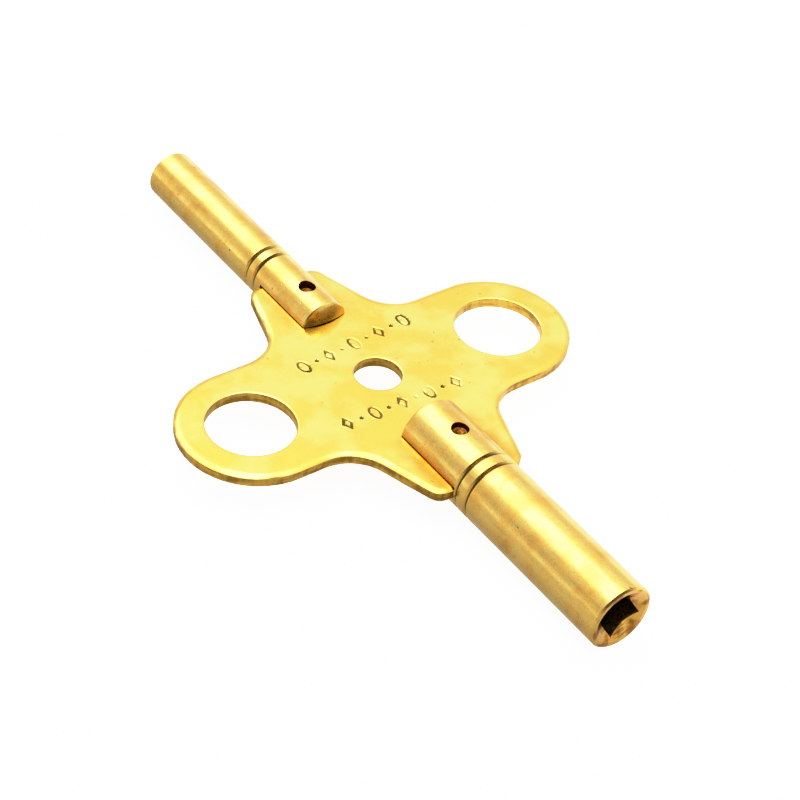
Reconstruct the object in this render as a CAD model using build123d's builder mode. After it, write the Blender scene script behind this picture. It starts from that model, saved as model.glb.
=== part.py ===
from build123d import *
from dataclasses import dataclass
from math import hypot, radians, tan
import os

# Double-ended brass winding key. A flat stamped bow plate is clasped by two turned
# barrels that lie on one line, and a cross pin holds each barrel to the plate.
# Frame: the origin is the centre of the middle hole, half way through the plate.
# +X runs out of the large barrel's mouth, +Y along one wing, +Z up off the marked face.

# Bow plate
plate_thickness = 1.15
edge_roll = 0.35                 # rounding that the blanking die leaves on the top outline
wing_span = 44.3
wing_width = 15.3
root_radius = 4.5                # between a wing and a lobe
finger_hole_radius = 4.43
finger_hole_offset = 14.85
middle_hole_radius = 2.4
lobe_length = 16.9               # from the middle hole to either lobe's end
lobe_corner_radius = 1.5
lobe_half_widths = {             # at the plate's centre line, and at the lobe's end
    +1: (10.6, 5.05),
    -1: (9.05, 4.0),
}

# Punched marks: a row of plain shapes beside each barrel, centre to centre along the row
mark_height = 1.9
mark_width = 1.2
mark_stroke = 0.26
mark_dot_radius = 0.2
mark_depth = 0.08
mark_pitch = 1.6
mark_rows = (                    # row centre, turn away from +Y, shapes in order
    ((-4.9, 0.6), 5.0, ("ring", "dot", "lozenge", "dot", "ring", "dot", "lozenge", "dot", "ring")),
    ((4.6, -0.4), -1.0, ("lozenge", "dot", "ring", "dot", "lozenge", "dot", "ring", "dot", "lozenge")),
)

# Features that both barrels share
inner_crown = 0.55               # how far the turned inner end bulges at its middle
inner_edge_chamfer = 0.1
groove_width = 0.5
groove_depth = 0.28
groove_rounding = 0.06           # of its lips and its bottom
slot_overcut = 0.5               # the cutter runs this far past the barrel on each side
slot_edge_rounding = 0.06
cross_hole_rounding = 0.06
countersink_half_angle = 60.0
drill_point_half_angle = 59.0
pilot_margin = 0.05              # the pilot hole is this much smaller than the square, per side
pilot_overrun = 2.0              # drilled past the end of the broached square
socket_turn = 31.5               # of the square about the barrel's axis
pin_radius = 0.9
pin_chamfer = 0.2


@dataclass(frozen=True)
class Barrel:
    """A barrel and its cross pin; places are distances from the middle hole."""

    name: str
    side: int                    # +1 points along +X, -1 along -X
    radius: float
    inner_end: float
    mouth: float
    mouth_rounding: float
    rim_width: float             # flat ring between the rounding and the countersink
    grooves: tuple
    socket: float                # across flats
    socket_depth: float
    pin_place: float
    pin_recess: float            # depth of the pin's ends below the barrel's surface


barrels = (
    Barrel(
        name="large",
        side=1,
        radius=3.45,
        inner_end=8.45,
        mouth=37.45,
        mouth_rounding=0.25,
        rim_width=0.3,
        grooves=(17.1, 18.65),
        socket=3.5,
        socket_depth=14.0,
        pin_place=12.8,
        pin_recess=0.5,
    ),
    Barrel(
        name="small",
        side=-1,
        radius=2.65,
        inner_end=9.25,
        mouth=37.8,
        mouth_rounding=0.12,
        rim_width=0.35,
        grooves=(18.15, 19.5),
        socket=1.95,
        socket_depth=11.0,
        pin_place=12.5,
        pin_recess=0.8,
    ),
)


def lozenge(scale, mode=Mode.ADD):
    """A diamond outline on the open sketch, at a share of a mark's full size."""
    tip = scale * mark_height / 2
    flank = scale * mark_width / 2
    Polygon((tip, 0), (0, flank), (-tip, 0), (0, -flank), align=None, mode=mode)


def strike(shape):
    """Add one punched shape to the open sketch; the row runs along the local Y."""
    if shape == "ring":
        Ellipse(mark_height / 2, mark_width / 2)
        Ellipse(mark_height / 2 - mark_stroke, mark_width / 2 - mark_stroke, mode=Mode.SUBTRACT)
    elif shape == "lozenge":
        lozenge_breadth = mark_height * mark_width / hypot(mark_height, mark_width)
        lozenge(1)
        lozenge(1 - 2 * mark_stroke / lozenge_breadth, Mode.SUBTRACT)
    else:
        Circle(mark_dot_radius)


os.makedirs("parts", exist_ok=True)

# The plate: a slot-shaped pair of wings crossed by two tapered lobes
with BuildPart() as bow_plate:
    with BuildSketch(Plane.XY.offset(-plate_thickness / 2)) as blank:
        SlotOverall(wing_span, wing_width, rotation=90)
        for side, (root_half, end_half) in lobe_half_widths.items():
            Polygon(
                (0, root_half),
                (side * lobe_length, end_half),
                (side * lobe_length, -end_half),
                (0, -root_half),
                align=None,
            )
        lobe_corners = blank.vertices().filter_by(lambda v: abs(v.X) > wing_width)
        fillet(lobe_corners, lobe_corner_radius)
        roots = blank.vertices().filter_by(lambda v: max(abs(v.X), abs(v.Y)) < wing_width)
        fillet(roots, root_radius)
    extrude(amount=plate_thickness)
    fillet(bow_plate.faces().sort_by(Axis.Z)[-1].edges(), edge_roll)
    with Locations((0, finger_hole_offset), (0, -finger_hole_offset)):
        Hole(finger_hole_radius)
    Hole(middle_hole_radius)
    for barrel in barrels:
        with Locations((barrel.side * barrel.pin_place, 0)):
            Hole(pin_radius)
    with BuildSketch(Plane.XY.offset(plate_thickness / 2)):
        for centre, turn, shapes in mark_rows:
            first = -mark_pitch * (len(shapes) - 1) / 2
            with Locations(Location((*centre, 0), (0, 0, turn))):
                for place, shape in enumerate(shapes):
                    with Locations((0, first + mark_pitch * place)):
                        strike(shape)
    extrude(amount=-mark_depth, mode=Mode.SUBTRACT)
bow_plate.part.label = "bow_plate"
export_step(bow_plate.part, "parts/bow_plate.step")

for barrel in barrels:
    rim_radius = barrel.radius - barrel.mouth_rounding - barrel.rim_width
    pilot_radius = barrel.socket / 2 - pilot_margin
    sink_depth = (rim_radius - pilot_radius) / tan(radians(countersink_half_angle))
    pilot_end = barrel.mouth - barrel.socket_depth - pilot_overrun
    drill_tip = pilot_end - pilot_radius / tan(radians(drill_point_half_angle))
    lengthwise = Plane(origin=(0, 0, 0), x_dir=(barrel.side, 0, 0), z_dir=(0, -1, 0))
    mouth_plane = Plane(
        origin=(barrel.side * barrel.mouth, 0, 0),
        x_dir=(0, 1, 0),
        z_dir=(barrel.side, 0, 0),
    )

    # Turned from bar, drilled, countersunk, broached square, then slotted for the plate
    with BuildPart() as body:
        with BuildSketch(lengthwise) as profile:
            with BuildLine():
                crown = TangentArc(
                    (barrel.inner_end - inner_crown, 0),
                    (barrel.inner_end, barrel.radius),
                    tangent=(0, 1),
                )
                Polyline(
                    crown @ 1,
                    (barrel.mouth, barrel.radius),
                    (barrel.mouth, rim_radius),
                    (barrel.mouth - sink_depth, pilot_radius),
                    (pilot_end, pilot_radius),
                    (drill_tip, 0),
                    crown @ 0,
                )
            make_face()
            mouth_corner = profile.vertices().sort_by_distance((barrel.mouth, barrel.radius))[0]
            fillet(mouth_corner, barrel.mouth_rounding)
            inner_corner = profile.vertices().sort_by_distance((barrel.inner_end, barrel.radius))[0]
            chamfer(inner_corner, inner_edge_chamfer)
            for place in barrel.grooves:
                with Locations((place, barrel.radius)):
                    Polygon(
                        (-groove_width, groove_depth),
                        (groove_width, groove_depth),
                        (0, -groove_depth),
                        align=None,
                        mode=Mode.SUBTRACT,
                    )
            zone_start = min(barrel.grooves) - groove_width
            zone_end = max(barrel.grooves) + groove_width
            groove_corners = profile.vertices().filter_by(
                lambda v: zone_start < v.X < zone_end and v.Y > pilot_radius
            )
            fillet(groove_corners, groove_rounding)
        revolve(axis=Axis.X)
        with BuildSketch(mouth_plane):
            Rectangle(barrel.socket, barrel.socket, rotation=socket_turn)
        extrude(amount=-barrel.socket_depth, mode=Mode.SUBTRACT)
        with BuildSketch(Plane.XY):
            with Locations((barrel.side * lobe_length / 2, 0)):
                Rectangle(lobe_length, 2 * (barrel.radius + slot_overcut))
        extrude(amount=plate_thickness / 2, both=True, mode=Mode.SUBTRACT)
        slot_edges = body.edges(Select.LAST).filter_by(Axis.X)
        fillet(slot_edges, slot_edge_rounding)
        with BuildSketch(Plane.XY):
            with Locations((barrel.side * barrel.pin_place, 0)):
                Circle(pin_radius)
        extrude(amount=barrel.radius, both=True, mode=Mode.SUBTRACT)
        cross_hole_edges = body.edges(Select.LAST).sort_by(Axis.Z)
        fillet((cross_hole_edges[0], cross_hole_edges[-1]), cross_hole_rounding)
    body.part.label = f"{barrel.name}_barrel"
    export_step(body.part, f"parts/{barrel.name}_barrel.step")

    with BuildPart() as cross_pin:
        with BuildSketch(Plane.XY):
            with Locations((barrel.side * barrel.pin_place, 0)):
                Circle(pin_radius)
        extrude(amount=barrel.radius - barrel.pin_recess, both=True)
        chamfer(cross_pin.edges().filter_by(GeomType.CIRCLE), pin_chamfer)
    cross_pin.part.label = f"{barrel.name}_cross_pin"
    export_step(cross_pin.part, f"parts/{barrel.name}_cross_pin.step")
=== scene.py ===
import math

import bmesh
import bpy
import numpy as np
from mathutils import Matrix, Vector, kdtree, noise
from mathutils.geometry import delaunay_2d_cdt


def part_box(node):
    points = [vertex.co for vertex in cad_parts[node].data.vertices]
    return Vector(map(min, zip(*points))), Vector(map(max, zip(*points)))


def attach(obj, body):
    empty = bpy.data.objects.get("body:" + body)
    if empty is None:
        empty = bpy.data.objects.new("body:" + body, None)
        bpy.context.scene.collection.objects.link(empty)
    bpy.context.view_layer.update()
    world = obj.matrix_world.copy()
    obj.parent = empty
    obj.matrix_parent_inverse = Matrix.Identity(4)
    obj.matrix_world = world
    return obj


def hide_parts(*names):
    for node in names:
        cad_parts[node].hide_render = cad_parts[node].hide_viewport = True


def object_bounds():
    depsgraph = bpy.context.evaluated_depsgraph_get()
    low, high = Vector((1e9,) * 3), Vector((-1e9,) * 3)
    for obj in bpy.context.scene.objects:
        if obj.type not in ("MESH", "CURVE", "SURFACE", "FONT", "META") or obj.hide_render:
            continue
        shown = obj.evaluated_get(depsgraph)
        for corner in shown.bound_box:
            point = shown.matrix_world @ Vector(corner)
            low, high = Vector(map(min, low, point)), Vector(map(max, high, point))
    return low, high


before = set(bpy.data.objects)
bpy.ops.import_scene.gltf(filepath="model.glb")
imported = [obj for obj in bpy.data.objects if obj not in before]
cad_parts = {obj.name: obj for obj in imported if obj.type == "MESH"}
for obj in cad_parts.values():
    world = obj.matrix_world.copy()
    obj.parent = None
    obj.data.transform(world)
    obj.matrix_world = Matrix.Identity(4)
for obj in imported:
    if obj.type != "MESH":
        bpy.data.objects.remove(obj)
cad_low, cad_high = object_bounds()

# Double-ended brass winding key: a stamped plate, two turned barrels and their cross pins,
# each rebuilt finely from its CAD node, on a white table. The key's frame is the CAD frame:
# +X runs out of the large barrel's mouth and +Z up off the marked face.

MM = 0.001
SIDES = {"large": 1, "small": -1}    # each barrel points along +X or -X


# Camera

CAMERA_TARGET = Vector((3.75, 0.0, 0.0)) * MM
CAMERA_DISTANCE = 242.1 * MM
CAMERA_AZIMUTH = math.radians(-41.25)
CAMERA_ELEVATION = math.radians(40.88)
CAMERA_ROLL = math.radians(7.87)
CAMERA_LENS = 112.6              # millimetres, for the standard 36 mm sensor
CAMERA_CLIP_START = 10 * MM


def direction(azimuth, elevation):
    """Unit vector at an azimuth from +X towards +Y and an elevation from the floor."""
    level = math.cos(elevation)
    return Vector((level * math.cos(azimuth), level * math.sin(azimuth), math.sin(elevation)))


def add_camera():
    data = bpy.data.cameras.new("camera")
    data.lens = CAMERA_LENS
    data.clip_start = CAMERA_CLIP_START
    camera = bpy.data.objects.new("camera", data)
    bpy.context.scene.collection.objects.link(camera)
    outward = direction(CAMERA_AZIMUTH, CAMERA_ELEVATION)
    level_turn = outward.to_track_quat("Z", "Y")
    camera.rotation_mode = "QUATERNION"
    camera.rotation_quaternion = level_turn @ Matrix.Rotation(CAMERA_ROLL, 3, "Z").to_quaternion()
    camera.location = CAMERA_TARGET + outward * CAMERA_DISTANCE
    bpy.context.scene.camera = camera


# Node graphs

class Graph:
    """Adds nodes to a tree; an input takes a number, a colour or another node's output."""

    def __init__(self, tree):
        self.tree = tree

    def add(self, kind, out=0, settings=None, **inputs):
        """Add a node and return one of its outputs; inputs go by label, or by _ and their number."""
        node = self.tree.nodes.new(kind)
        for name, value in (settings or {}).items():
            setattr(node, name, value)
        for name, value in inputs.items():
            socket = node.inputs[int(name[1:]) if name[0] == "_" else name.replace("_", " ")]
            if isinstance(value, bpy.types.NodeSocket):
                self.tree.links.new(value, socket)
            else:
                socket.default_value = value
        return node if out is None else node.outputs[out]

    def math(self, operation, first, second=0.0):
        return self.add("ShaderNodeMath", settings={"operation": operation}, _0=first, _1=second)

    def total(self, *layers):
        """Sum of values, each times its weight."""
        total, *others = [self.math("MULTIPLY", value, weight) for value, weight in layers]
        for other in others:
            total = self.math("ADD", total, other)
        return total

    def ease(self, value, low, high, start=0.0, end=1.0):
        """A smooth step from start to end as value goes from low to high."""
        return self.add(
            "ShaderNodeMapRange", settings={"interpolation_type": "SMOOTHSTEP"},
            Value=value, From_Min=low, From_Max=high, To_Min=start, To_Max=end,
        )

    def mix(self, share, first, second):
        """Blend two colours."""
        return self.add(
            "ShaderNodeMix", out=2, settings={"data_type": "RGBA"},
            _0=share, _6=first, _7=second,
        )

    def stored(self, name):
        """Values that the mesh holds at its corners."""
        return self.add("ShaderNodeAttribute", out="Fac", settings={"attribute_name": name})

    def stretched(self, scale, turn=(0, 0, 0)):
        """Object coordinates in millimetres, turned and then scaled along each axis."""
        place = self.add("ShaderNodeTexCoord", out="Object")
        return self.add(
            "ShaderNodeMapping", Vector=place, Rotation=turn, Scale=tuple(value / MM for value in scale),
        )

    def noise(self, scale, detail=2.0, turn=(0, 0, 0)):
        """Noise with about this many features per millimetre along each axis."""
        if not isinstance(scale, tuple):
            scale = (scale,) * 3
        place = self.stretched(scale, turn)
        return self.add("ShaderNodeTexNoise", Vector=place, Scale=1.0, Detail=detail)


# Studio: a pale table, soft light all round and one wide softbox overhead; sizes in metres.
# In the sky, turns, depths and heights are a direction's parts along X, Y and Z.

TABLE_SIDE = 6.0
TABLE_SHADE = 0.85
TABLE_GLOW = 1.3
REFLECTED_SHADES = (0.265, 0.8)  # grey of the reflected table: dark under the key, a painted shadow, and light on its +Y side, painted light
REFLECTED_SPREAD = (-4 * MM, 14 * MM)
REFLECTED_FRONT = 0.125          # extra on its -Y side
REFLECTED_FRONT_SPREAD = (-12 * MM, -3 * MM)
SOFTBOX_CENTRE = (-0.5, -0.02, 1.0)
SOFTBOX_SIZE = (1.6, 0.92)
SOFTBOX_RADIANCE = 2.8
SKY_BASE = 0.6
SKY_FAR_SIDE = 0.35              # extra towards +Y
SKY_FAR_SIDE_DEPTHS = (-0.1, 0.6)
SKY_OVERHEAD = 0.5               # extra high up
SKY_OVERHEAD_HEIGHTS = (0.42, 0.75)
SKY_HORIZON = 0.68               # extra in a band at the horizon
SKY_HORIZON_HEIGHT = 0.3
SKY_SIDE = 0.5                   # extra low down beyond the small barrel, on the -Y side
SKY_SIDE_TURNS = (-0.65, -0.55)
SKY_SIDE_DEPTHS = (-0.6, -0.3)
SKY_SIDE_HEIGHTS = (0.25, 0.6)
SKY_DARK_TOWARDS = (0.98, -0.2, 0.0)
SKY_DARK_SPREAD = (0.2, 0.6)
SKY_DARK_SHARE = 0.08            # left there of the base, far side and overhead light
FILM_CURVE = (                   # light in, and brightness in the picture
    (0.0, 0.0), (0.3, 0.3), (0.6, 0.605), (0.8, 0.79), (1.0, 0.89),
    (1.25, 0.945), (1.7, 0.98), (2.4, 0.995), (3.2, 1.0),
)


def add_table(name, height, shade, glow):
    half = TABLE_SIDE / 2
    mesh = bpy.data.meshes.new(name)
    corners = [(-half, -half, height), (half, -half, height), (half, half, height), (-half, half, height)]
    mesh.from_pydata(corners, [], [(0, 1, 2, 3)])
    table = mesh_object(name, mesh)
    material = bpy.data.materials.new(name)
    material.use_nodes = True
    shader = material.node_tree.nodes["Principled BSDF"]
    shader.inputs["Base Color"].default_value = (shade, shade, shade, 1)
    shader.inputs["Roughness"].default_value = 1.0
    shader.inputs["Specular IOR Level"].default_value = 0.0
    shader.inputs["Emission Color"].default_value = (1, 1, 1, 1)
    shader.inputs["Emission Strength"].default_value = glow
    mesh.materials.append(material)
    return table


def add_tables(height):
    """A white table for the view, and a duller one that only the brass's reflections show."""
    shown = add_table("table", height, TABLE_SHADE, TABLE_GLOW)
    shown.visible_glossy = False
    reflected = add_table("table_reflected", height, REFLECTED_SHADES[0], 0.0)
    graph = Graph(reflected.data.materials[0].node_tree)
    place = graph.add("ShaderNodeTexCoord", out="Object")
    far = graph.add("ShaderNodeSeparateXYZ", Vector=place, out="Y")
    # Painted shadow and light: the reflected table is darker just under the key and lighter towards +Y.
    shade = graph.ease(far, *REFLECTED_SPREAD, *REFLECTED_SHADES)
    shade = graph.math("ADD", shade, graph.ease(far, *REFLECTED_FRONT_SPREAD, REFLECTED_FRONT, 0))
    graph.tree.links.new(shade, graph.tree.nodes["Principled BSDF"].inputs["Base Color"])
    reflected.visible_camera = False
    reflected.visible_diffuse = False
    reflected.visible_shadow = False


def add_softbox():
    """A rectangular lamp facing straight down; its radiance is what a mirror would show."""
    data = bpy.data.lights.new("overhead", "AREA")
    data.shape = "RECTANGLE"
    data.size, data.size_y = SOFTBOX_SIZE
    data.energy = SOFTBOX_RADIANCE * math.pi * math.prod(SOFTBOX_SIZE)
    lamp = bpy.data.objects.new("overhead", data)
    bpy.context.scene.collection.objects.link(lamp)
    lamp.location = SOFTBOX_CENTRE
    lamp.visible_camera = False


def add_world():
    """Soft light all round, with one dark side, and stronger where the SKY values above say."""
    world = bpy.data.worlds.new("studio")
    world.use_nodes = True
    graph = Graph(world.node_tree)
    ray = graph.add("ShaderNodeTexCoord", out="Generated")
    along, far, height = graph.add("ShaderNodeSeparateXYZ", Vector=ray, out=None).outputs
    shaded = graph.add(
        "ShaderNodeVectorMath", out="Value", settings={"operation": "DOT_PRODUCT"},
        _0=ray, _1=SKY_DARK_TOWARDS,
    )
    glow = graph.ease(far, *SKY_FAR_SIDE_DEPTHS, SKY_BASE, SKY_BASE + SKY_FAR_SIDE)
    glow = graph.math("ADD", glow, graph.ease(height, *SKY_OVERHEAD_HEIGHTS, 0, SKY_OVERHEAD))
    glow = graph.math("MULTIPLY", glow, graph.ease(shaded, *SKY_DARK_SPREAD, 1, SKY_DARK_SHARE))
    side = graph.ease(along, *SKY_SIDE_TURNS, SKY_SIDE, 0)
    side = graph.math("MULTIPLY", side, graph.ease(far, *SKY_SIDE_DEPTHS, 1, 0))
    side = graph.math("MULTIPLY", side, graph.ease(height, *SKY_SIDE_HEIGHTS, 1, 0))
    glow = graph.math("ADD", glow, side)
    rise = graph.math("ABSOLUTE", height)
    glow = graph.math("ADD", glow, graph.ease(rise, 0, SKY_HORIZON_HEIGHT, SKY_HORIZON, 0))
    background = world.node_tree.nodes["Background"]
    background.inputs["Color"].default_value = (1, 1, 1, 1)
    world.node_tree.links.new(glow, background.inputs["Strength"])
    bpy.context.scene.world = world


def set_film():
    """Standard colours with a soft shoulder, as a photograph rolls off its highlights."""
    view = bpy.context.scene.view_settings
    view.view_transform = "Standard"
    view.use_curve_mapping = True
    mapping = view.curve_mapping
    mapping.use_clip = False
    mapping.clip_max_x = FILM_CURVE[-1][0]
    mapping.extend = "EXTRAPOLATED"
    curve = mapping.curves[3]
    for point, place in zip(curve.points, (FILM_CURVE[0], FILM_CURVE[-1])):
        point.location = place
    for place in FILM_CURVE[1:-1]:
        curve.points.new(*place)
    mapping.update()


# Mesh helpers, in millimetres

WELD = 1e-4                      # CAD corners this close are one
SAME_LEVEL = 10 * WELD           # and CAD corners this close along one axis are level
CAD_DIGITS = 3                   # decimals that CAD places are compared at
SEED_SHIFT = Vector((17.3, 5.1, 9.7))
INSIDE_EDGES = 1                 # asks delaunay_2d_cdt for the triangles inside its edges
CDT_WITHIN = 1e-6                # points this close are one to it
SHARP_ANGLE = 30.0               # degrees; edges that turn further are drawn sharp


def hills(places, wavelength, seed):
    """Smooth noise from -1 to 1 at each place."""
    shift = SEED_SHIFT * seed
    if places.shape[1] == 2:
        places = np.column_stack([places, np.zeros(len(places))])
    return np.array([noise.noise(Vector(place) / wavelength + shift) for place in places])


def waves(places, layers, seed):
    """Sum of layers of hills, each layer given by its height and wavelength."""
    return sum(
        height * hills(places, wavelength, seed + extra)
        for extra, (height, wavelength) in enumerate(layers)
    )


def ramp(value, start, end):
    """0 before start, 1 after end, and smooth between."""
    share = np.clip((value - start) / (end - start), 0, 1)
    return share * share * (3 - 2 * share)


def welded(node):
    """A CAD node's corners and triangles, with doubled corners merged."""
    mesh = node.data
    places = np.zeros(len(mesh.vertices) * 3)
    mesh.vertices.foreach_get("co", places)
    mesh.calc_loop_triangles()
    triangles = np.zeros(len(mesh.loop_triangles) * 3, int)
    mesh.loop_triangles.foreach_get("vertices", triangles)
    steps = np.round(places.reshape(-1, 3) / MM / WELD)
    keys, merged = np.unique(steps, axis=0, return_inverse=True)
    return keys * WELD, merged.ravel()[triangles].reshape(-1, 3)


def flat_levels(node):
    """Heights of a CAD node's level faces, lowest first."""
    places, triangles = welded(node)
    heights = places[triangles][:, :, 2]
    level = np.ptp(heights, axis=1) < WELD
    return sorted(set(np.round(heights[level][:, 0], CAD_DIGITS)))


def flat_outlines(node, height):
    """Closed outlines of a CAD node's level faces at one height, longest first, metal on the left."""
    places, triangles = welded(node)
    near = abs(places[triangles][:, :, 2] - height) < SAME_LEVEL
    flat = triangles[near.all(axis=1)]
    edges = {(a, b) for corners in flat.tolist() for a, b in zip(corners, corners[1:] + corners[:1])}
    following = {a: b for a, b in edges if (b, a) not in edges}
    outlines = []
    while following:
        start, here = following.popitem()
        loop = [start]
        while here != start:
            loop.append(here)
            here = following.pop(here)
        outlines.append(places[loop][:, :2])
    outlines.sort(key=perimeter, reverse=True)
    if signed_area(outlines[0]) < 0:
        outlines = [outline[::-1] for outline in outlines]
    return outlines


def perimeter(loop):
    return np.hypot(*(np.roll(loop, -1, 0) - loop).T).sum()


def signed_area(loop):
    x, y = loop.T
    return (x * np.roll(y, -1) - np.roll(x, -1) * y).sum() / 2


def circle_like(loop, spacing):
    """An even circle through a faceted round outline, turning the same way."""
    centre = (loop.min(0) + loop.max(0)) / 2
    radius = np.ptp(loop, axis=0).mean() / 2
    turns = np.linspace(0, 2 * math.pi, round(perimeter(loop) / spacing), endpoint=False)
    turns *= math.copysign(1, signed_area(loop))
    return centre + radius * np.column_stack([np.cos(turns), np.sin(turns)])


def resampled(loop, spacing, passes=3):
    """The outline again with even spacing, its facets eased away."""
    closed = np.vstack([loop, loop[:1]])
    along = np.concatenate([[0], np.cumsum(np.hypot(*np.diff(closed, axis=0).T))])
    places = np.linspace(0, along[-1], round(along[-1] / spacing), endpoint=False)
    points = np.column_stack([np.interp(places, along, closed[:, axis]) for axis in (0, 1)])
    for _ in range(passes):
        points = (np.roll(points, 1, 0) + 2 * points + np.roll(points, -1, 0)) / 4
    return points


def into_metal(loop):
    """Unit vectors into the metal, which lies left of the outline."""
    along = np.roll(loop, -1, 0) - np.roll(loop, 1, 0)
    left = np.column_stack([-along[:, 1], along[:, 0]])
    return left / np.hypot(*left.T)[:, None]


def starts_and_spans(loops):
    """Where each straight step along closed outlines starts, and how far it goes."""
    return np.vstack(loops), np.vstack([np.roll(loop, -1, 0) - loop for loop in loops])


class Outlines:
    """Closed outlines of fine, even steps, with the metal on their left."""

    def __init__(self, loops):
        self.starts, self.spans = starts_and_spans(loops)
        firsts = np.cumsum([0] + [len(loop) for loop in loops])
        orders = [first + np.roll(np.arange(len(loop)), 1) for first, loop in zip(firsts, loops)]
        self.before = np.concatenate(orders)
        self.tree = kdtree.KDTree(len(self.starts))
        for place, start in enumerate(self.starts):
            self.tree.insert((*start, 0), place)
        self.tree.balance()

    def depth(self, points):
        """Distance into the metal from the nearest outline; less than 0 outside it."""
        nearest = np.array([self.tree.find((*point, 0))[1] for point in points], int)
        best = np.full(len(points), np.inf)
        for steps in (nearest, self.before[nearest]):
            gap = points - self.starts[steps]
            span = self.spans[steps]
            share = np.clip((gap * span).sum(1) / (span ** 2).sum(1), 0, 1)
            distance = np.hypot(*(gap - share[:, None] * span).T)
            side = np.sign(span[:, 0] * gap[:, 1] - span[:, 1] * gap[:, 0])
            closer = distance < abs(best)
            best[closer] = (distance * side)[closer]
        return best


class Stroke:
    """One struck mark: the region between its outlines, which may have corners."""

    def __init__(self, loops):
        self.starts, self.spans = starts_and_spans(loops)
        self.low = self.starts.min(0) - STROKE_MARGIN
        self.high = self.starts.max(0) + STROKE_MARGIN

    def depth(self, points):
        """Distance into the region from its nearest outline; less than 0 outside it."""
        gap = points[:, None, :] - self.starts
        share = np.clip((gap * self.spans).sum(2) / (self.spans ** 2).sum(1), 0, 1)
        distance = np.sqrt(((gap - share[..., None] * self.spans) ** 2).sum(2).min(1))
        straddles = (gap[..., 1] < 0) != (gap[..., 1] < self.spans[:, 1])
        rise = np.where(self.spans[:, 1] == 0, 1, self.spans[:, 1])
        crossing = gap[..., 1] * self.spans[:, 0] / rise
        inside = (straddles & (gap[..., 0] < crossing)).sum(1) % 2 == 1
        return np.where(inside, distance, -distance)


def lattice(low, high, spacing):
    """A triangular grid of points over a rectangle."""
    row_gap = spacing * math.sqrt(3) / 2
    rows = np.arange(low[1], high[1], row_gap)
    columns = np.arange(low[0], high[0], spacing)
    x, y = np.meshgrid(columns, rows)
    x[1::2] += spacing / 2
    return np.column_stack([x.ravel(), y.ravel()])


def filled(outlines, inner):
    """Triangles between closed outlines; the corners are the outlines' and then the inner points."""
    edges = []
    first = 0
    for outline in outlines:
        count = len(outline)
        edges += [(first + place, first + (place + 1) % count) for place in range(count)]
        first += count
    points = np.vstack([*outlines, inner])
    corners = [Vector(point) for point in points]
    _, _, triangles, origins, *_ = delaunay_2d_cdt(corners, edges, [], INSIDE_EDGES, CDT_WITHIN)
    first_origins = np.array([origin[0] for origin in origins])
    triangles = first_origins[np.array(triangles)]
    in_metal = Outlines(outlines).depth(points[triangles].mean(1)) > 0
    return points, triangles[in_metal]


def set_values(mesh, name, values):
    """Store one value for each of the first corners; the rest get 0."""
    padded = np.zeros(len(mesh.vertices))
    padded[:len(values)] = values
    mesh.attributes.new(name, "FLOAT", "POINT").data.foreach_set("value", padded)


def ring_quads(rows, count):
    """Faces between rings of corners, which follow each other with this many corners in each."""
    faces = []
    for row in range(rows - 1):
        for place in range(count):
            here, after = row * count + place, row * count + (place + 1) % count
            faces.append((here, after, after + count, here + count))
    return faces


def pole_triangles(rows, count):
    """Faces that close the first and last ring towards two more corners, which follow the rings."""
    pole, last = rows * count, (rows - 1) * count
    faces = []
    for place in range(count):
        after = (place + 1) % count
        faces.append((pole, after, place))
        faces.append((pole + 1, last + place, last + after))
    return faces


def facing_out(mesh):
    form = bmesh.new()
    form.from_mesh(mesh)
    bmesh.ops.recalc_face_normals(form, faces=form.faces)
    form.to_mesh(mesh)
    form.free()


def shade(mesh, sharp_angle=SHARP_ANGLE):
    """Smooth shading, with sharp edges where the surface turns further than this."""
    mesh.shade_smooth()
    mesh.set_sharp_from_angle(angle=math.radians(sharp_angle))


def mesh_object(name, mesh):
    thing = bpy.data.objects.new(name, mesh)
    bpy.context.scene.collection.objects.link(thing)
    return thing


# Bow plate, in millimetres: the CAD outline with the die's roll, torn walls and struck marks

EDGE_SPACING = 0.2
HOLE_SPACING = 0.15
FACE_SPACING = 0.32
UNDER_SPACING = 0.64
PLATE_SHARP_ANGLE = 38.0
FACE_SWELL = 0.012
SWELL_WAVES = ((0.7, 6.5), (0.3, 2.2))
UNDER_SWELL_WAVES = ((1.0, 5.0),)
UNDER_INSET = 0.1                # of a ring of corners just inside each lower edge
UNDER_CLEARANCE = 0.3            # between the lower edges and the grid of corners
FACE, WALL = range(2)            # the plate's materials

ROLL_WIDTH = 0.62
ROLL_DEPTH = 0.2
ROLL_POWER = 2.0
ROLL_WAVES = ((0.22, 2.6), (0.10, 0.7))
ROLL_RINGS = (0.06, 0.14, 0.24, 0.36, 0.5, 0.66, 0.84, 1.04)    # shares of the roll's width
ROLL_CLEARANCE = 1.15 * ROLL_WIDTH                              # between the edge and the grid
HOLE_ROLL_WIDTH = 0.12
HOLE_ROLL_DEPTH = 0.05
HOLE_ROLL_POWER = 2.0
HOLE_ROLL_RINGS = (0.35, 0.8, 1.6)
HOLE_ROLL_CLEARANCE = 0.25

WALL_ROWS = 11
WALL_SEED = 10
WALL_SEED_STEP = 5
TEAR_DEPTH = 0.05
TEAR_START = 0.3                 # how far down the wall the tear begins, as a share of its height
TEAR_START_WAVES = ((0.15, 1.7),)
TEAR_FADE = 0.12                 # and the share over which it deepens
TEAR_STREAK_WIDTH = 0.35
TEAR_STREAK_HEIGHT = 1.2
TEAR_MEAN = 0.55                 # share of its depth, before the streaks and a finer grain
TEAR_STREAKS = 0.45
TEAR_GRAIN_WAVES = ((0.3, 0.25),)
TEAR_LIMITS = (0.05, 1.3)
BURR = 0.03                      # the lower edge hangs down at most this far
BURR_MEAN = 0.3
BURR_WAVES = ((1.0, 1.3),)

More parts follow.
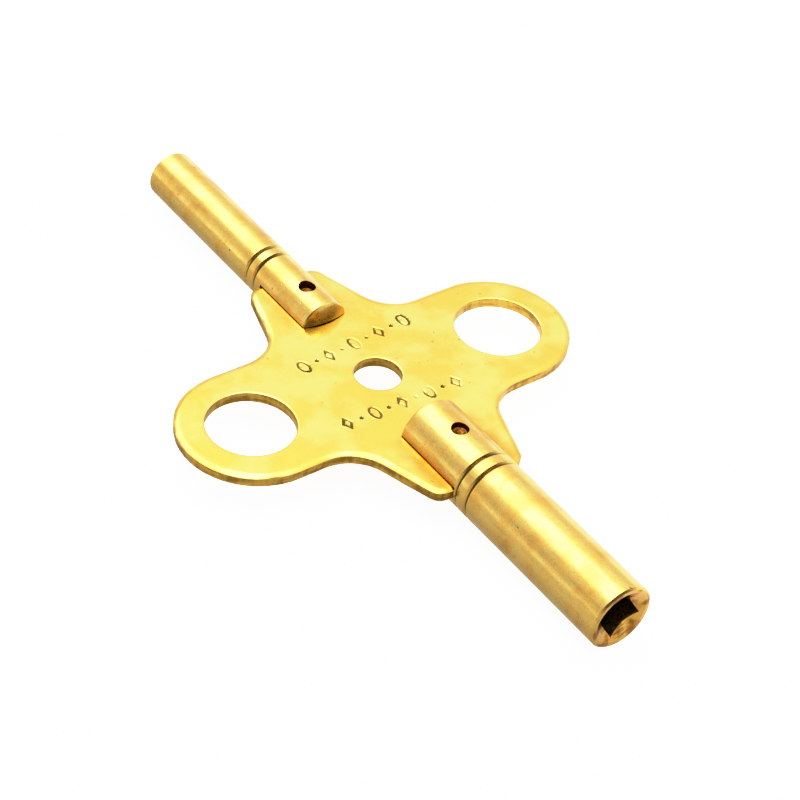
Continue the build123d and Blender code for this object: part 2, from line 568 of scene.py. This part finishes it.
STROKE_SPACING = 0.05
STROKE_HALF_WIDTH = 0.13
STROKE_DEPTH = 0.12
STROKE_SPREAD = 0.045            # how far the metal is drawn down outside the punch's outline
STROKE_LIP = 0.012
STROKE_LIP_WIDTH = 0.05
STROKE_MARGIN = 0.16             # the fine corners reach this far outside the outline
STROKE_CLEARANCE = 1.2 * STROKE_MARGIN    # and the grid starts here
STROKE_FORCE = 0.75
STROKE_FORCE_WAVES = ((1.0, 1.1),)
STROKE_FORCE_LIMITS = (0.08, 1.3)

JOINT_TINT_WIDTH = 2.1                # of the warm tint on the plate beside a barrel: tarnish and a painted reflection of the barrel's flank
JOINT_TINT_SHARES = {"large": 1.0, "small": 0.35}
JOINT_TINT_START = 2.5                # it grows over this length from the barrel's inner end


class PlateShape:
    """The plate's outlines and the heights of its upper face, worked out from its CAD node."""

    def __init__(self, node):
        levels = flat_levels(node)
        self.bottom, mark_floor, self.top = levels[0], levels[-2], levels[-1]
        outer, *holes = flat_outlines(node, self.bottom)
        self.outer = resampled(outer, EDGE_SPACING)
        self.holes = [circle_like(hole, HOLE_SPACING) for hole in holes]
        self.rim = Outlines([self.outer])
        self.bores = Outlines(self.holes)
        self.strokes = [Stroke(loops) for loops in concentric(flat_outlines(node, mark_floor))]

    def upper(self, points):
        """Height of the upper face, and how deep each point is struck, from 0 to 1."""
        edge = np.clip(self.rim.depth(points) / ROLL_WIDTH, 0, 1)
        bore = np.clip(self.bores.depth(points) / HOLE_ROLL_WIDTH, 0, 1)
        drop = ROLL_DEPTH * (1 + waves(points, ROLL_WAVES, seed=1)) * (1 - edge) ** ROLL_POWER
        drop += HOLE_ROLL_DEPTH * (1 - bore) ** HOLE_ROLL_POWER
        drop += FACE_SWELL * (1 + waves(points, SWELL_WAVES, seed=3)) / 2
        struck = np.zeros(len(points))
        for stroke in self.strokes:
            near = ((points > stroke.low) & (points < stroke.high)).all(1)
            inside = stroke.depth(points[near])
            force = STROKE_FORCE + waves(points[near], STROKE_FORCE_WAVES, seed=5)
            force = np.clip(force, *STROKE_FORCE_LIMITS)
            share = np.clip((inside + STROKE_SPREAD) / (STROKE_HALF_WIDTH + STROKE_SPREAD), 0, 1)
            beyond = np.maximum(-inside - STROKE_SPREAD, 0)
            lip = np.where(beyond > 0, STROKE_LIP * np.exp(-(beyond / STROKE_LIP_WIDTH) ** 2), 0)
            drop[near] += force * (STROKE_DEPTH * share * (2 - share) - lip)
            struck[near] += force * share
        return self.top - drop, struck


def stain_and_reflection(points):
    """How much warm tint each point of the plate gets, from 0 to 1, as tarnish and a painted reflection
    of the barrel's flank: most beside the large barrel.
    """
    joint_tint = np.zeros(len(points))
    for name, side in SIDES.items():
        low, high = (np.array(corner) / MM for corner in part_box(f"{name}_barrel"))
        inner = min(low[0] * side, high[0] * side)
        along = ramp(points[:, 0] * side - inner, 0, JOINT_TINT_START)
        beside = 1 - ramp(abs(points[:, 1]), high[1], high[1] + JOINT_TINT_WIDTH)
        joint_tint += JOINT_TINT_SHARES[name] * along * beside
    return joint_tint


def concentric(loops):
    """The outlines grouped by their shared centres."""
    groups = []
    for loop in loops:
        centre = (loop.min(0) + loop.max(0)) / 2
        for group_centre, group in groups:
            if np.hypot(*(centre - group_centre)) < STROKE_HALF_WIDTH:
                group.append(loop)
                break
        else:
            groups.append((centre, [loop]))
    return [group for _, group in groups]


def plate_face_points(shape):
    """Corners for the upper face: rings along the die roll, a grid, and a fine grid at each mark."""
    inward = into_metal(shape.outer)
    rings = [shape.outer + inward * ROLL_WIDTH * share for share in ROLL_RINGS]
    hole_rings = [
        hole + into_metal(hole) * HOLE_ROLL_WIDTH * share
        for hole in shape.holes for share in HOLE_ROLL_RINGS
    ]
    grid = lattice(shape.outer.min(0), shape.outer.max(0), FACE_SPACING)
    grid = grid[shape.rim.depth(grid) > ROLL_CLEARANCE]
    grid = grid[shape.bores.depth(grid) > HOLE_ROLL_CLEARANCE]
    fine = []
    for stroke in shape.strokes:
        patch = lattice(stroke.low, stroke.high, STROKE_SPACING)
        fine.append(patch[stroke.depth(patch) > -STROKE_MARGIN])
        near = ((grid > stroke.low) & (grid < stroke.high)).all(1)
        near[near] = stroke.depth(grid[near]) > -STROKE_CLEARANCE
        grid = grid[~near]
    return np.vstack([*rings, *hole_rings, *fine, grid])


def plate_wall(outline, top_heights, bottom, seed):
    """Rings from the top edge down to the burr; the metal tears inwards below the sheared band."""
    inward = into_metal(outline)
    rings = []
    for row in range(WALL_ROWS + 1):
        share = row / WALL_ROWS
        level = top_heights * (1 - share) + bottom * share
        places = np.column_stack([outline, level])
        start = TEAR_START + waves(outline, TEAR_START_WAVES, seed)
        torn = ramp(share, start, start + TEAR_FADE)
        streaks = np.column_stack([outline / TEAR_STREAK_WIDTH, level / TEAR_STREAK_HEIGHT])
        rough = TEAR_MEAN + TEAR_STREAKS * hills(streaks, 1, seed + 1)
        rough += waves(places, TEAR_GRAIN_WAVES, seed + 2)
        depth = TEAR_DEPTH * torn * np.clip(rough, *TEAR_LIMITS)
        if row == WALL_ROWS:
            level = level - BURR * np.clip(waves(outline, BURR_WAVES, seed + 3) + BURR_MEAN, 0, 1)
        rings.append(np.column_stack([outline + inward * depth[:, None], level]))
    return rings


def build_plate(node):
    """The face, a wall round each outline and the underside, joined at their shared edges."""
    shape = PlateShape(node)
    mesh_points, faces = [], []

    def add(points, point_faces, material):
        base = sum(len(block) for block in mesh_points)
        mesh_points.append(points)
        faces.extend(((np.array(face) + base).tolist(), material) for face in point_faces)

    flat, triangles = filled([shape.outer, *shape.holes], plate_face_points(shape))
    heights, struck = shape.upper(flat)
    add(np.column_stack([flat, heights]), triangles, FACE)
    feet = []
    for place, outline in enumerate([shape.outer, *shape.holes]):
        top_heights, _ = shape.upper(outline)
        seed = WALL_SEED + WALL_SEED_STEP * place
        rings = plate_wall(outline, top_heights, shape.bottom, seed)
        quads = [(a, d, c, b) for a, b, c, d in ring_quads(len(rings), len(outline))]
        add(np.vstack(rings), quads, WALL)
        feet.append(rings[-1])
    foot_outlines = [foot[:, :2] for foot in feet]
    grid = lattice(shape.outer.min(0), shape.outer.max(0), UNDER_SPACING)
    grid = grid[Outlines(foot_outlines).depth(grid) > UNDER_CLEARANCE]
    inset = [foot + into_metal(foot) * UNDER_INSET for foot in foot_outlines]
    under, triangles = filled(foot_outlines, np.vstack([*inset, grid]))
    level = np.full(len(under), shape.bottom)
    level += FACE_SWELL * (1 + waves(under, UNDER_SWELL_WAVES, seed=6)) / 2
    feet = np.vstack(feet)
    level[:len(feet)] = feet[:, 2]
    add(np.column_stack([under, level]), [face[::-1] for face in triangles], FACE)

    mesh = bpy.data.meshes.new("plate")
    mesh.from_pydata((np.vstack(mesh_points) * MM).tolist(), [], [face for face, _ in faces])
    mesh.polygons.foreach_set("material_index", [material for _, material in faces])
    set_values(mesh, "struck", struck)
    set_values(mesh, "stain_and_reflection", stain_and_reflection(flat))
    form = bmesh.new()
    form.from_mesh(mesh)
    bmesh.ops.remove_doubles(form, verts=form.verts, dist=2 * WELD * MM)
    bmesh.ops.delete(form, geom=[corner for corner in form.verts if not corner.link_faces])
    form.to_mesh(mesh)
    form.free()
    shade(mesh, PLATE_SHARP_ANGLE)
    return mesh_object("plate", mesh)


# Barrels, in millimetres: the CAD profile turned finely, dented, slotted, drilled and broached

RING_SPACING = 0.2
SINK_SPACING = 0.1
PILOT_SPACING = 0.8
CROWN_STEPS = 24
SEGMENT_LENGTH = 0.14
HOLE_SEGMENTS = 72
RING_VERTICES = 12               # a turned edge in the CAD mesh has at least this many corners
SKIN_SHARE = 0.9                 # of the radius; a turned ring that wide is on the outside
PILOT_SHARE = 0.7                # of the length from the inner end; the pilot hole ends before it
SINK_CLEARANCE = 0.5             # between the socket's floor and the countersink, at least
SQUARE_SHARE = 1.1               # of the pilot hole's radius; the square's corners are wider
FACET_SHARE = 0.75               # size of the mouth's facet, as a share of the CAD rounding
SLOT_CHAMFER = 0.15
CUTTER_OVERRUN = 1.0
RING_WANDER = 0.0025
DENTS_PER_BARREL = 16
DENT_WIDTHS = (0.10, 0.32)
DENT_DEPTHS = (0.008, 0.035)
DENT_STRETCHES = (0.8, 1.8)      # length along the barrel over width
DENTED_SHARE = 0.97              # of the radius; only rings that wide are dented
GROOVE_SHARE = 0.99              # of the radius; a narrower ring on the outside is in a groove
GROOVE_CLEARANCE = 1.0           # but this near an end it belongs to that end's edge
GROOVE_SHADE_SHARE = 0.5                 # of the radius; the grooves' painted shade lies no nearer the axis
SLIVER = 2e-3                    # corners this close are merged after the cuts
TURNED, DRILLED, SUNK, BROACHED = range(4)    # a barrel's materials


def subdivided(line, spacing):
    """The line's corners with extra points on long runs."""
    points = [line[:1]]
    for start, end in zip(line, line[1:]):
        steps = max(1, math.ceil(np.hypot(*(end - start)) / spacing))
        points.append(start + (end - start) * np.arange(1, steps + 1)[:, None] / steps)
    return np.vstack(points)


def faceted(skin):
    """The outer profile with the rounding at its mouth cut as a facet, as a lathe leaves it."""
    last_wide = np.flatnonzero(skin[:, 1] > skin[:, 1].max() - WELD)[-1]
    size = FACET_SHARE * (skin[-1, 0] - skin[last_wide, 0])
    start = (skin[-1, 0] - size, skin[last_wide, 1])
    end = (skin[-1, 0], skin[last_wide, 1] - size)
    return np.vstack([skin[:last_wide + 1], start, end])


def run_on(line, wide):
    """Where the line's last run, carried on straight, is this far from the axis."""
    slope = (line[-1] - line[-2]) / (line[-1, 1] - line[-2, 1])
    return line[-1] + slope * (wide - line[-1, 1])


class BarrelShape:
    """A barrel's turned profile and its square, read from its CAD node; x grows to the mouth."""

    def __init__(self, node, side):
        places, _ = welded(node)
        along, across = places[:, 0] * side, places[:, 1:]
        wide = np.hypot(*across.T)
        self.side = side
        self.radius = wide.max()
        rings = np.round(np.column_stack([along, wide]), CAD_DIGITS)
        rings, counts = np.unique(rings, axis=0, return_counts=True)
        rings = rings[counts >= RING_VERTICES]
        inner = rings[:, 0].min()
        outside = rings[:, 1] >= SKIN_SHARE * self.radius

        skin = rings[outside]
        skin = faceted(skin[np.lexsort((-skin[:, 1], skin[:, 0]))])
        self.skin = subdivided(skin, RING_SPACING)
        self.mouth = skin[-1, 0]

        crown = rings[~outside & (rings[:, 0] < inner + self.radius / 2)]
        bulge, apex = np.polyfit(crown[:, 1] ** 2, crown[:, 0], 1)
        reach = np.linspace(0, skin[0, 1], CROWN_STEPS, endpoint=False)
        self.crown = np.column_stack([apex + bulge * reach ** 2, reach])

        bore = rings[~outside & (rings[:, 0] > inner + self.radius)]
        bore = bore[np.argsort(-bore[:, 0])]
        pilot = bore[bore[:, 0] < inner + PILOT_SHARE * (self.mouth - inner)]
        self.socket_floor, pilot_radius = pilot[0]
        self.pilot = subdivided(pilot, PILOT_SPACING)
        self.tip = run_on(pilot, 0)
        sink = bore[bore[:, 0] > self.socket_floor + SINK_CLEARANCE]
        self.sink = subdivided(np.vstack([skin[-1:], sink, run_on(sink, pilot_radius)]), SINK_SPACING)

        on_floor = abs(along - self.socket_floor) < SAME_LEVEL
        square = across[on_floor & (wide > SQUARE_SHARE * pilot_radius)]
        self.square = square[np.argsort(np.arctan2(square[:, 1], square[:, 0]))]


def segments(radius):
    """Corners of a turned ring: a multiple of four, with about a segment's length between them."""
    return 4 * round(math.tau * radius / SEGMENT_LENGTH / 4)


def turned_mesh(name, shape, seed):
    """A closed body of revolution, in millimetres, its rings a little uneven and its skin dented."""
    random = np.random.default_rng(seed)
    rows = [(shape.crown, TURNED), (shape.skin, TURNED), (shape.sink[1:], SUNK), (shape.pilot, BROACHED)]
    profile = np.vstack([points for points, _ in rows])[1:]
    kinds = np.concatenate([[kind] * len(points) for points, kind in rows])[1:]
    count = segments(shape.radius)
    turn = np.arange(count) * math.tau / count
    x, r = profile.T
    wander = np.where(r > SKIN_SHARE * shape.radius, RING_WANDER * random.uniform(-1, 0, len(r)), 0)
    radius = (r + wander)[:, None] + np.zeros(count)
    length = x[:, None] + np.zeros(count)
    dented = r > DENTED_SHARE * shape.radius
    for _ in range(DENTS_PER_BARREL):
        place = random.uniform(shape.skin[0, 0], shape.mouth)
        angle = random.uniform(0, math.tau)
        width = random.uniform(*DENT_WIDTHS)
        depth = random.uniform(*DENT_DEPTHS)
        stretch = random.uniform(*DENT_STRETCHES)
        around = (turn - angle + math.pi) % math.tau - math.pi
        gap2 = ((length - place) / stretch) ** 2 + (around * shape.radius) ** 2
        radius -= depth * np.exp(-gap2 / width ** 2) * dented[:, None]
    corners = np.column_stack([
        (shape.side * length).ravel(), (radius * np.cos(turn)).ravel(), (radius * np.sin(turn)).ravel(),
    ])
    poles = [(shape.side * shape.crown[0, 0], 0, 0), (shape.side * shape.tip[0], 0, 0)]
    mesh = bpy.data.meshes.new(name)
    faces = ring_quads(len(profile), count) + pole_triangles(len(profile), count)
    mesh.from_pydata(np.vstack([corners, poles]).tolist(), [], faces)
    materials = np.concatenate([np.repeat(kinds[1:], count), np.tile([TURNED, BROACHED], count)])
    mesh.polygons.foreach_set("material_index", materials)
    return mesh


def prism(outline, low, high, axis, material):
    """A closed cutter: an outline across one axis, from low to high along it."""
    count = len(outline)
    others = [other for other in range(3) if other != axis]
    corners = np.zeros((2 * count, 3))
    corners[:, others] = np.vstack([outline, outline])
    corners[:, axis] = np.repeat([low, high], count)
    ends = [tuple(range(count)), tuple(range(2 * count - 1, count - 1, -1))]
    faces = ends + ring_quads(2, count)
    mesh = bpy.data.meshes.new("cutter")
    mesh.from_pydata(corners.tolist(), [], faces)
    mesh.polygons.foreach_set("material_index", [material] * len(faces))
    return mesh


def carve(body, cutter_mesh, materials):
    """Take the cutter away from the body; the cut faces keep the cutter's material."""
    facing_out(cutter_mesh)
    for material in materials:
        cutter_mesh.materials.append(material)
    cutter = mesh_object("cutter", cutter_mesh)
    modifier = body.modifiers.new("cut", "BOOLEAN")
    modifier.object = cutter
    modifier.operation = "DIFFERENCE"
    modifier.solver = "EXACT"
    modifier.material_mode = "TRANSFER"
    seen = body.evaluated_get(bpy.context.evaluated_depsgraph_get())
    carved = bpy.data.meshes.new_from_object(seen)
    body.modifiers.clear()
    body.data = carved
    bpy.data.objects.remove(cutter)


def mirrored(upper):
    """A closed outline from its upper edge and that edge's mirror image below."""
    upper = np.array(upper)
    return np.vstack([upper, (upper * (1, -1))[::-1]])


def circle(centre, radius, count):
    turns = np.arange(count) * math.tau / count
    return np.array(centre) + radius * np.column_stack([np.cos(turns), np.sin(turns)])


def build_barrel(name, side, seed, materials):
    """The turned body, cut by the plate's slot, that slot's chamfers, the pin's hole and the square."""
    shape = BarrelShape(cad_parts[f"{name}_barrel"], side)
    plate_low, plate_high = (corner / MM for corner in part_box("bow_plate"))
    pin_low, pin_high = (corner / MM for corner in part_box(f"{name}_cross_pin"))
    mesh = turned_mesh(f"{name}_turned_barrel", shape, seed)
    facing_out(mesh)
    for material in materials:
        mesh.materials.append(material)
    body = mesh_object(f"{name}_turned_barrel", mesh)

    # From the side, the slot widens towards the barrel's inner end
    reach = shape.radius + CUTTER_OVERRUN
    slot_end = plate_high.x if side > 0 else plate_low.x
    half = plate_high.z
    slot = mirrored([
        (0, half + 2 * SLOT_CHAMFER),
        (side * shape.crown[0, 0], half + SLOT_CHAMFER),
        (side * (shape.skin[0, 0] + SLOT_CHAMFER), half),
        (slot_end, half),
    ])
    carve(body, prism(slot, -reach, reach, 1, DRILLED), materials)

    # From the end, it widens where it breaks through the barrel's skin
    lip = math.sqrt(shape.radius ** 2 - half ** 2)
    flared = half + reach - lip + SLOT_CHAMFER
    flare = mirrored([
        (-reach, flared), (SLOT_CHAMFER - lip, half), (lip - SLOT_CHAMFER, half), (reach, flared),
    ])
    carve(body, prism(flare, *sorted((0, slot_end)), 0, DRILLED), materials)

    hole = circle(((pin_low.x + pin_high.x) / 2, 0), (pin_high.x - pin_low.x) / 2, HOLE_SEGMENTS)
    carve(body, prism(hole, -reach, reach, 2, DRILLED), materials)
    ends = sorted((side * shape.socket_floor, side * (shape.mouth + CUTTER_OVERRUN)))
    carve(body, prism(shape.square, *ends, 0, BROACHED), materials)
    drop_slivers(body.data)
    finish_barrel(body.data, shape)
    return body


def drop_slivers(mesh):
    """Merge the cuts' closest corners, and drop faces that this has folded onto each other."""
    form = bmesh.new()
    form.from_mesh(mesh)
    bmesh.ops.remove_doubles(form, verts=form.verts, dist=SLIVER)
    bmesh.ops.dissolve_degenerate(form, edges=form.edges, dist=SLIVER)
    bmesh.ops.triangulate(form, faces=form.faces)
    by_corners = {}
    for face in form.faces:
        by_corners.setdefault(frozenset(face.verts), []).append(face)
    folded = [face for twins in by_corners.values() if len(twins) > 1 for face in twins]
    bmesh.ops.delete(form, geom=folded, context="FACES")
    form.to_mesh(mesh)
    form.free()


def finish_barrel(mesh, shape):
    """Store how deep each corner is in a groove, from 0 to 1, for the painted shade there, and go from
    millimetres to metres.
    """
    places = np.zeros(len(mesh.vertices) * 3)
    mesh.vertices.foreach_get("co", places)
    places = places.reshape(-1, 3)
    along, wide = places[:, 0] * shape.side, np.hypot(places[:, 1], places[:, 2])
    grooves = shape.skin[shape.skin[:, 1] < GROOVE_SHARE * shape.radius]
    grooves = grooves[grooves[:, 0] > shape.skin[0, 0] + GROOVE_CLEARANCE]
    grooves = grooves[grooves[:, 0] < shape.mouth - GROOVE_CLEARANCE]
    zone = (along > grooves[0, 0]) & (along < grooves[-1, 0]) & (wide > GROOVE_SHADE_SHARE * shape.radius)
    depth = np.where(zone, (shape.radius - wide) / (shape.radius - grooves[:, 1].min()), 0)
    set_values(mesh, "groove_shade", np.clip(depth, 0, 1))
    mesh.vertices.foreach_set("co", (places * MM).ravel())
    shade(mesh)


# Cross pins, in millimetres: cropped rod with dished, chamfered ends

# Across an end: distance from the axis, in proportion, and depth below its highest ring
PIN_DISH = ((0.0, 0.24), (0.3, 0.21), (0.48, 0.12), (0.6, 0.03), (0.66, 0.0), (0.72, 0.0))
PIN_CHAMFER = 0.2
PIN_SPACING = 0.08
PIN_WANDER = 0.02
PIN_WAVELENGTH = 0.35
PIN_SEED = 40


def build_pin(name, seed):
    """A closed body of revolution about the pin's own axis, its ends a little uneven."""
    low, high = (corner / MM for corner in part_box(f"{name}_cross_pin"))
    radius = (high.x - low.x) / 2
    spread = (radius - PIN_CHAMFER) / PIN_DISH[-1][0]
    end = [(reach * spread, high.z - depth) for reach, depth in PIN_DISH]
    end.append((radius, high.z - PIN_CHAMFER))
    profile = mirrored(subdivided(np.array(end), PIN_SPACING)[1:])
    count = 2 * segments(radius)
    turn = np.arange(count) * math.tau / count
    x = (low.x + high.x) / 2 + np.outer(profile[:, 0], np.cos(turn))
    y = np.outer(profile[:, 0], np.sin(turn))
    corners = np.column_stack([x.ravel(), y.ravel(), np.repeat(profile[:, 1], count)])
    on_end = (profile[:, 0] < radius - PIN_CHAMFER / 2).repeat(count)
    wander = PIN_WANDER * (1 + hills(corners, PIN_WAVELENGTH, seed)) / 2
    corners[:, 2] -= np.sign(corners[:, 2]) * on_end * wander
    poles = [corners[:count].mean(0), corners[-count:].mean(0)]
    mesh = bpy.data.meshes.new(f"{name}_pin")
    faces = ring_quads(len(profile), count) + pole_triangles(len(profile), count)
    mesh.from_pydata((np.vstack([corners, poles]) * MM).tolist(), [], faces)
    facing_out(mesh)
    shade(mesh)
    return mesh_object(f"{name}_pin", mesh)


# Materials: colours are linear, noise scales are per millimetre and heights in millimetres

LEMON_BRASS = (0.94, 0.72, 0.175, 1)
WARM_BRASS = (0.93, 0.54, 0.085, 1)
BARREL_BRASS = (0.92, 0.60, 0.145, 1)
BARREL_WARM = (0.90, 0.50, 0.095, 1)
TARNISH = (0.42, 0.27, 0.08, 1)
COUNTERSUNK = (0.92, 0.50, 0.10, 1)
COUNTERSUNK_DARK = (0.40, 0.16, 0.03, 1)
# Near black: painted shade at the bottom of the grooves and in the socket.
PAINTED_SHADE = (0.06, 0.045, 0.015, 1)
STRUCK = (0.10, 0.08, 0.018, 1)
# Orange: tarnish beside the barrels and a painted reflection of their flanks.
JOINT_STAIN_AND_REFLECTION = (0.66, 0.25, 0.02, 1)
TORN_BRASS = (0.70, 0.41, 0.065, 1)
TORN_DARK = (0.36, 0.19, 0.025, 1)
COPPERY = (0.27, 0.10, 0.015, 1)
COPPERY_DARK = (0.10, 0.034, 0.006, 1)
# Dark brown: painted shade in the socket.
SOCKET_SHADE_BROWN = (0.30, 0.16, 0.05, 1)
SCRATCH_DENSITY = 9.0
SCRATCH_LENGTH = 45.0            # times its width
SCRATCH_CUT = (0.68, 0.74)       # the noise between these is a scratch's edge
SCRATCH_TURNS = (25.0, 118.0)    # degrees


def metal(name, paint):
    """A metal whose paint function returns colour, roughness, and bump height in millimetres."""
    material = bpy.data.materials.new(name)
    material.use_nodes = True
    graph = Graph(material.node_tree)
    shader = material.node_tree.nodes["Principled BSDF"]
    shader.inputs["Metallic"].default_value = 1
    colour, roughness, height = paint(graph)
    bump = graph.add("ShaderNodeBump", Height=height, Distance=MM, Strength=1.0)
    for label, value in (("Base Color", colour), ("Roughness", roughness), ("Normal", bump)):
        graph.tree.links.new(value, shader.inputs[label])
    return material


def scratches(graph, turn):
    """Thin, long lines along one direction; 1 in a scratch and 0 elsewhere."""
    fine, long = SCRATCH_DENSITY, SCRATCH_DENSITY / SCRATCH_LENGTH
    lines = graph.noise((fine, long, fine), 1.0, (0, 0, math.radians(turn)))
    return graph.ease(lines, *SCRATCH_CUT)


def paint_face(graph):
    """The stamped face: patchy lemon and warm brass, satin, lightly scratched, dark in the marks, and
    orange beside the barrels with tarnish and a painted reflection.
    """
    patches = graph.noise(0.19)
    flecks = graph.noise(0.9, 3.0)
    grain = graph.noise(6.0, 3.0)
    pits = graph.ease(graph.noise(1.9, 1.0), 0.75, 0.79, 0.0, 0.7)
    joint_tint = graph.ease(graph.noise(0.45), 0.32, 0.60, 0.5, 1.0)
    struck = graph.stored("struck")
    blend = graph.total((patches, 0.8), (flecks, 0.2))
    colour = graph.mix(graph.ease(blend, 0.38, 0.60), LEMON_BRASS, WARM_BRASS)
    colour = graph.mix(pits, colour, TORN_DARK)
    # Tarnish and a painted reflection of the barrels' orange flanks, beside the barrels.
    colour = graph.mix(graph.math("MULTIPLY", graph.stored("stain_and_reflection"), joint_tint), colour, JOINT_STAIN_AND_REFLECTION)
    colour = graph.mix(graph.ease(struck, 0.08, 0.5), colour, STRUCK)
    roughness = graph.ease(graph.total((patches, 1.0), (grain, 0.3)), 0.4, 0.85, 0.14, 0.27)
    roughness = graph.total((roughness, 1.0), (struck, 0.3))
    lines = [(scratches(graph, turn), -0.0012) for turn in SCRATCH_TURNS]
    return colour, roughness, graph.total((grain, 0.0038), (flecks, 0.010), *lines)


def paint_torn(graph):
    """The sheared walls: brown, streaked through the thickness, rough and blotched."""
    streaks = graph.noise((2.0, 2.0, 0.8), 3.0)
    bands = graph.noise((0.25, 0.25, 1.8))
    dark = graph.ease(graph.total((streaks, 0.4), (bands, 1.0)), 0.58, 0.85)
    colour = graph.mix(dark, TORN_BRASS, TORN_DARK)
    roughness = graph.ease(streaks, 0.3, 0.7, 0.34, 0.55)
    return colour, roughness, graph.total((streaks, 0.03))


def paint_turned(graph):
    """Turned brass: fine rings about the X axis, rubbed streaks along it, smudges, dark pits and painted
    shade in the grooves.
    """
    rings = graph.noise((9.0, 0.25, 0.25))
    broad = graph.noise((1.1, 0.12, 0.12))
    smudges = graph.noise(0.35, 3.0)
    rubbed = graph.noise((0.22, 1.5, 1.5), 3.0)
    grain = graph.noise(6.0)
    pits = graph.ease(graph.noise(1.6, 1.0), 0.745, 0.79)
    groove_shade = graph.stored("groove_shade")
    blend = graph.total((smudges, 0.7), (broad, 0.3))
    colour = graph.mix(graph.ease(blend, 0.42, 0.62), BARREL_BRASS, BARREL_WARM)
    colour = graph.mix(graph.ease(smudges, 0.58, 0.76, 0.0, 0.5), colour, TARNISH)
    colour = graph.mix(graph.ease(rubbed, 0.55, 0.78, 0.0, 0.45), colour, TARNISH)
    colour = graph.mix(graph.ease(grain, 0.48, 0.68, 0.0, 0.3), colour, TARNISH)
    colour = graph.mix(graph.total((pits, 0.8)), colour, TORN_DARK)
    # Painted shade: near black towards the bottom of each groove.
    colour = graph.mix(graph.ease(groove_shade, 0.4, 0.95, 0.0, 0.9), colour, PAINTED_SHADE)
    wear = graph.total((smudges, 1.0), (rubbed, 0.6), (rings, 0.35))
    height = graph.total((rings, 0.0035), (broad, 0.012), (grain, 0.0055), (rubbed, 0.012), (pits, -0.02))
    return colour, graph.ease(wear, 0.7, 1.2, 0.15, 0.31), height


def paint_coppery(graph):
    """Drilled and broached surfaces: reddish, dull and speckled."""
    specks = graph.noise(4.0, 3.0)
    colour = graph.mix(graph.ease(specks, 0.40, 0.62), COPPERY, COPPERY_DARK)
    return colour, graph.ease(specks, 0.3, 0.7, 0.35, 0.55), graph.total((specks, 0.02))


def paint_sunk(graph):
    """The countersink: bright coppery brass with the tool's rings and a few dull patches."""
    rings = graph.noise((8.0, 0.6, 0.6))
    patches = graph.noise(0.7)
    colour = graph.mix(graph.ease(patches, 0.43, 0.66), COUNTERSUNK, COUNTERSUNK_DARK)
    return colour, graph.ease(patches, 0.3, 0.7, 0.09, 0.22), graph.total((rings, 0.02))


def paint_socket(graph):
    """The broached square and the pilot hole: dark brown and near black, a painted shade for the deep
    socket.
    """
    specks = graph.noise(3.0, 3.0)
    # Painted shade: the socket's whole surface is dark brown and near black.
    colour = graph.mix(graph.ease(specks, 0.40, 0.62), SOCKET_SHADE_BROWN, PAINTED_SHADE)
    return colour, graph.ease(specks, 0.3, 0.7, 0.5, 0.7), graph.total((specks, 0.02))


add_camera()
set_film()
add_world()
add_softbox()
add_tables(cad_low.z)

face_brass = metal("stamped_brass", paint_face)
torn_brass = metal("torn_brass", paint_torn)
turned_brass = metal("turned_brass", paint_turned)
coppery_brass = metal("coppery_brass", paint_coppery)
sunk_brass = metal("sunk_brass", paint_sunk)
socket_brass = metal("socket_brass", paint_socket)
for name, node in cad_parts.items():
    node.data.materials.clear()
    node.data.materials.append(coppery_brass if name.endswith("pin") else turned_brass)

barrel_brasses = (turned_brass, coppery_brass, sunk_brass, socket_brass)
for seed, (name, side) in enumerate(SIDES.items(), 1):
    barrel = build_barrel(name, side, seed, barrel_brasses)
    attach(barrel, "root")
    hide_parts(f"{name}_barrel")
    pin = build_pin(name, PIN_SEED + seed)
    pin.data.materials.append(coppery_brass)
    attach(pin, "root")
    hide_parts(f"{name}_cross_pin")

plate = build_plate(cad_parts["bow_plate"])
plate.data.materials.append(face_brass)
plate.data.materials.append(torn_brass)
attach(plate, "root")
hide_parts("bow_plate")
